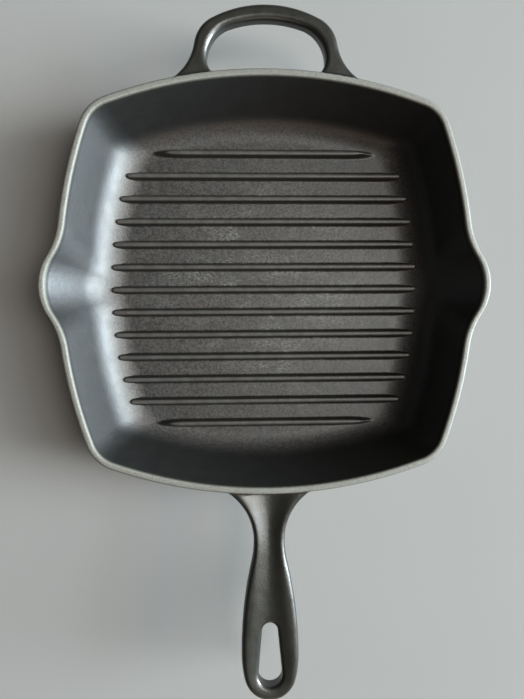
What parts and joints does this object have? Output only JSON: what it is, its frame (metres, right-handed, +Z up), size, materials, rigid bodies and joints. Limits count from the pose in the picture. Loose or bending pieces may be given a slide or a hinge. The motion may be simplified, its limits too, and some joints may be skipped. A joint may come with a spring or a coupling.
{
  "type": "cast iron grill skillet",
  "caption": "Square cast iron skillet with a ribbed cooking floor, a pour spout on each side, a long handle with a hanging hole and a loop helper handle.",
  "frame": {"origin": "centre of the flat underside of the pan, on the surface it stands on", "axes": "+Z up out of the bowl, -Y along the long handle, +Y to the helper handle, -X and +X to the two pour spouts"},
  "size_m": [0.2802, 0.4312, 0.0522],
  "materials": {
    "wall_enamel": "satin black enamel with a fine pebbled texture",
    "floor_enamel": "matt black enamel, lightly seasoned, with faint grey and brown smudges",
    "rim_enamel": "matt grey rim where the enamel is thin, fine speckle",
    "handle_enamel": "satin black enamel, slightly olive, fine pebbled texture"
  },
  "bodies": {
    "root": {"pan_floor": "floor_enamel", "wall_front": "wall_enamel", "wall_back": "wall_enamel", "pour_spout_left": "wall_enamel", "pour_spout_right": "wall_enamel", "corner_front_left": "wall_enamel", "corner_front_right": "wall_enamel", "corner_back_left": "wall_enamel", "corner_back_right": "wall_enamel", "rim_band": "rim_enamel", "grill_rib_01": "floor_enamel", "grill_rib_02": "floor_enamel", "grill_rib_03": "floor_enamel", "grill_rib_04": "floor_enamel", "grill_rib_05": "floor_enamel", "grill_rib_06": "floor_enamel", "grill_rib_07": "floor_enamel", "grill_rib_08": "floor_enamel", "grill_rib_09": "floor_enamel", "grill_rib_10": "floor_enamel", "grill_rib_11": "floor_enamel", "grill_rib_12": "floor_enamel", "grill_rib_13": "floor_enamel", "long_handle": "handle_enamel", "helper_handle": "handle_enamel"}
  },
  "joints": []
}
